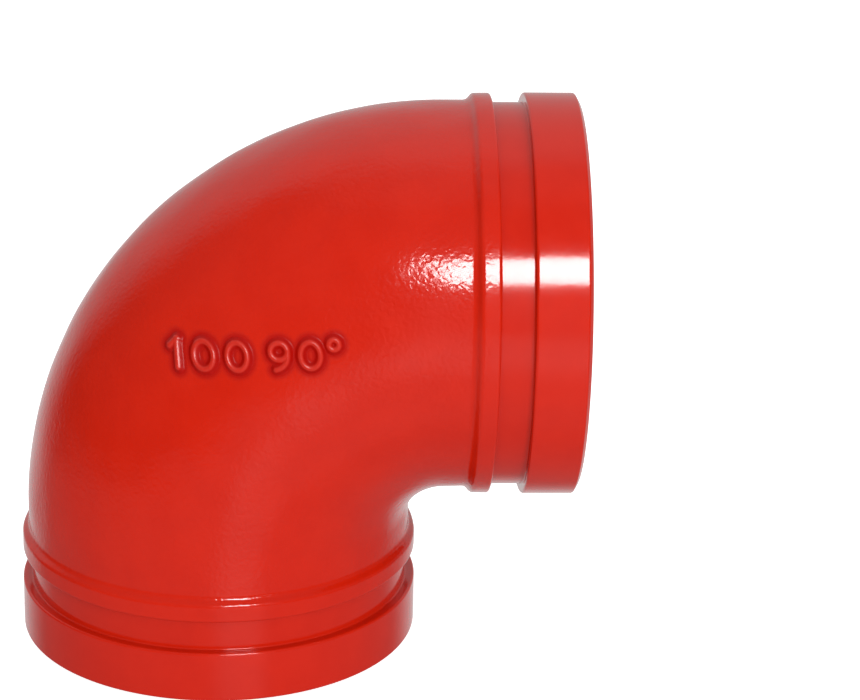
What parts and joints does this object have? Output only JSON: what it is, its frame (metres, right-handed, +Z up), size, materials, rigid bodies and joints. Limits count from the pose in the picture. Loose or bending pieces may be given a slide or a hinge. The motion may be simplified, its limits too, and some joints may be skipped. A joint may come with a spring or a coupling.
{
  "type": "grooved pipe elbow",
  "caption": "Red painted cast iron 90 degree pipe elbow, nominal size 100 mm, short pattern, with a grooved and beaded end on each leg.",
  "frame": {"origin": "middle of the elbow's box on the plane of the lower end face, 22.225 mm along +X from the lower leg's axis", "axes": "+Z up along the lower leg's axis (x = -22.225 mm, y = 0), away from the lower end face; +X along the side leg's axis (y = 0, z = 101.6 mm), out of the side end face; the two axes cross at x = -22.225, y = 0, z = 101.6 mm; -Y is the front, with the raised size mark"},
  "size_m": [0.1588, 0.1142, 0.1587],
  "materials": {
    "red_paint": "glossy red epoxy paint over an as-cast iron skin, smoother on the machined rings and grooves"
  },
  "bodies": {
    "root": {"elbow_casting": "red_paint"}
  },
  "joints": []
}
